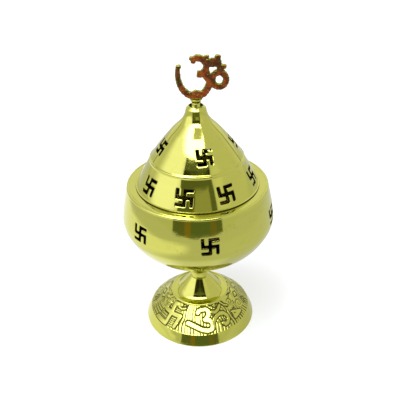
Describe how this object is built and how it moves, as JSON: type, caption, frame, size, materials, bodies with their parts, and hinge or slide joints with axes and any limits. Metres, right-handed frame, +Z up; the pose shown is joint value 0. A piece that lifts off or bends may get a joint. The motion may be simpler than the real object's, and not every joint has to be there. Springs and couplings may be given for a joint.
{
  "type": "incense burner",
  "caption": "Brass pedestal incense burner: pierced round bowl on a trumpet foot, lift-out ember cup, and a pierced conical lift-off lid with a painted Om finial.",
  "frame": {"origin": "middle of the ring that the foot stands on, on the table", "axes": "+Z up along the burner's axis; -Y is the front, where the finial reads; +X to the viewer's right"},
  "size_m": [0.08, 0.08, 0.1544],
  "materials": {
    "polished_brass": "lathe-turned yellow brass, buffed to a mirror and lacquered, with faint tool lines",
    "dull_brass": "spun brass, unpolished and a little heat-browned",
    "painted_brass": "cast brass washed with vermilion paint, brass showing along the edges",
    "steel": "bright zinc-plated steel"
  },
  "bodies": {
    "stand": {"foot": "polished_brass", "foot_nut": "steel", "foot_washer": "steel", "collar": "polished_brass", "stem": "polished_brass", "centre_bolt": "steel", "bowl_washer": "steel", "bowl": "polished_brass", "mouth_ring": "polished_brass"},
    "cup": {"ember_cup": "dull_brass", "cup_foot": "dull_brass"},
    "lid": {"lid": "polished_brass", "lid_skirt": "polished_brass", "finial_post": "polished_brass", "om_finial": "painted_brass", "finial_washer": "steel", "finial_nut": "steel"}
  },
  "joints": [
    {"name": "lid_lift", "type": "slide", "parent": "stand", "child": "lid", "axis": [0, 0, 1], "range_m": [0, 0.08]},
    {"name": "cup_lift", "type": "slide", "parent": "stand", "child": "cup", "axis": [0, 0, 1], "range_m": [0, 0.024]}
  ]
}
